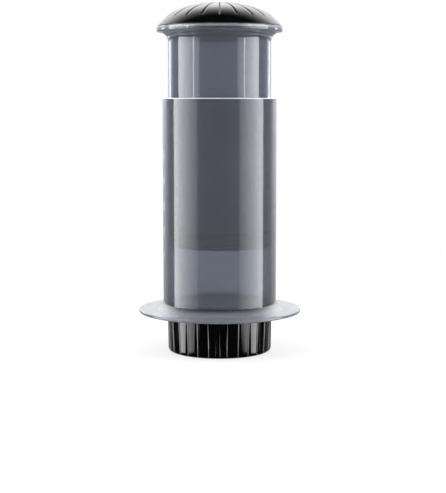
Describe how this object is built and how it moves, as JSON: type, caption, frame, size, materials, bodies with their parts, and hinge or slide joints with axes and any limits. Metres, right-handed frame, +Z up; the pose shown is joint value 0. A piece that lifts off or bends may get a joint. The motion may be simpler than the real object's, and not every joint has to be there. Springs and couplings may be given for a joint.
{
  "type": "manual coffee press",
  "caption": "Hand coffee press: smoke plunger tube with grooved palm cap slides in a smoke chamber, whose round flange stands on a mug above a twist-on fluted filter cap.",
  "frame": {"origin": "middle of the filter cap's foot, where the press stands on a table", "axes": "+Z up along the press's axis, -Y to the front as pictured"},
  "size_m": [0.0946, 0.0946, 0.2019],
  "materials": {
    "smoke_frosted": "smoke-grey translucent plastic, polished outside and slightly frosted inside",
    "smoke_clear": "smoke-grey clear plastic, polished",
    "black_gloss": "black plastic, high gloss",
    "black_silicone": "black silicone, satin",
    "grey_silicone": "dark grey silicone, satin",
    "steel_mesh": "fine woven stainless mesh"
  },
  "bodies": {
    "chamber": {"chamber": "smoke_frosted"},
    "plunger": {"plunger_tube": "smoke_clear", "plunger_seal": "grey_silicone"},
    "palm_cap": {"palm_cap": "black_gloss", "palm_cap_ring": "black_silicone"},
    "filter_cap": {"filter_cap": "black_gloss", "filter_rim": "black_silicone", "filter_mesh": "steel_mesh", "outlet_valve": "grey_silicone"}
  },
  "joints": [
    {"name": "plunger_slide", "type": "slide", "parent": "chamber", "child": "plunger", "axis": [0, 0, 1], "range_m": [-0.0324, 0.09]},
    {"name": "palm_cap_lift", "type": "slide", "parent": "plunger", "child": "palm_cap", "axis": [0, 0, 1], "range_m": [0, 0.03]},
    {"name": "filter_cap_twist", "type": "hinge", "parent": "chamber", "child": "filter_cap", "pos_m": [0, 0, 0.0114], "axis": [0, 0, 1], "range_deg": [0, 32]}
  ]
}
